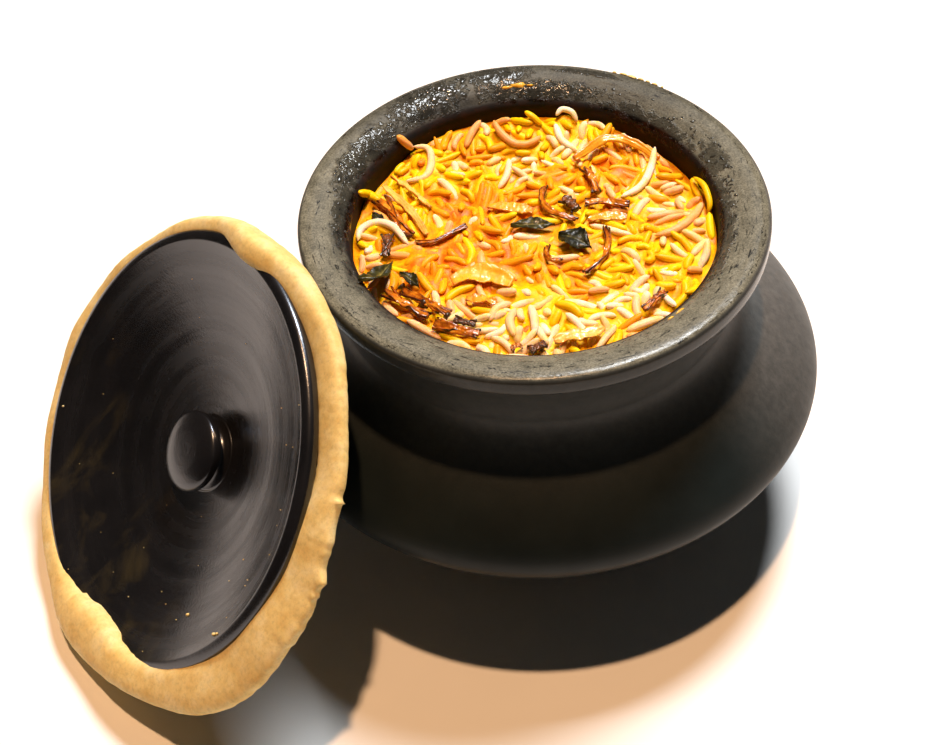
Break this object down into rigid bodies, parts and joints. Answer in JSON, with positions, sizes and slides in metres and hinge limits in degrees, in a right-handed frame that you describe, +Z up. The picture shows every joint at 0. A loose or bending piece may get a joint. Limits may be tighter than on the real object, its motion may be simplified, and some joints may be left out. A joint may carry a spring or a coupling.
{
  "type": "biryani in a clay pot",
  "caption": "Round black clay pot full of saffron rice with fried onions and mint; its dished lid, still edged with baked dough, leans on the rim.",
  "frame": {"origin": "centre of the pot's flat base, on the surface that it stands on", "axes": "+Z up along the pot's axis, -X towards the leaning lid, -Y towards the viewer"},
  "size_m": [0.2648, 0.2139, 0.1236],
  "materials": {
    "clay_pot": "satin black burnished clay, wet on the rim",
    "clay_lid": "satin black burnished clay",
    "baked_dough": "matt baked wheat dough",
    "rice": "oily cooked rice in white, yellow and orange",
    "onion_brown": "oily fried onion",
    "onion_pale": "soft translucent onion",
    "onion_burnt": "dark crisp onion",
    "mint_leaf": "dark wilted leaf, wet"
  },
  "bodies": {
    "root": {"pot_body": "clay_pot", "pot_neck": "clay_pot", "pot_rim": "clay_pot", "lid": "clay_lid", "dough_seal": "baked_dough", "rice": "rice", "onion_arch": "onion_brown", "onion_glossy": "onion_brown", "onion_flat": "onion_brown", "onion_hook": "onion_brown", "onion_chunk": "onion_burnt", "onion_right": "onion_brown", "onion_flap": "onion_pale", "onion_tail": "onion_brown", "onion_curl": "onion_brown", "onion_left": "onion_brown", "onion_left_tail": "onion_brown", "onion_pale_left": "onion_pale", "onion_pale_upper": "onion_pale", "onion_dark_strip": "onion_burnt", "onion_clump_upper": "onion_brown", "onion_clump_middle": "onion_brown", "onion_clump_lower": "onion_brown", "onion_clump_edge": "onion_burnt", "onion_bottom": "onion_pale", "onion_burnt": "onion_burnt", "onion_bottom_curl": "onion_brown", "onion_pale_layer": "onion_pale", "onion_speckled": "onion_pale", "onion_bit": "onion_brown", "leaf_middle": "mint_leaf", "leaf_dark": "mint_leaf", "leaf_small": "mint_leaf", "leaf_crisp": "mint_leaf", "leaf_crumpled": "mint_leaf"}
  },
  "joints": []
}
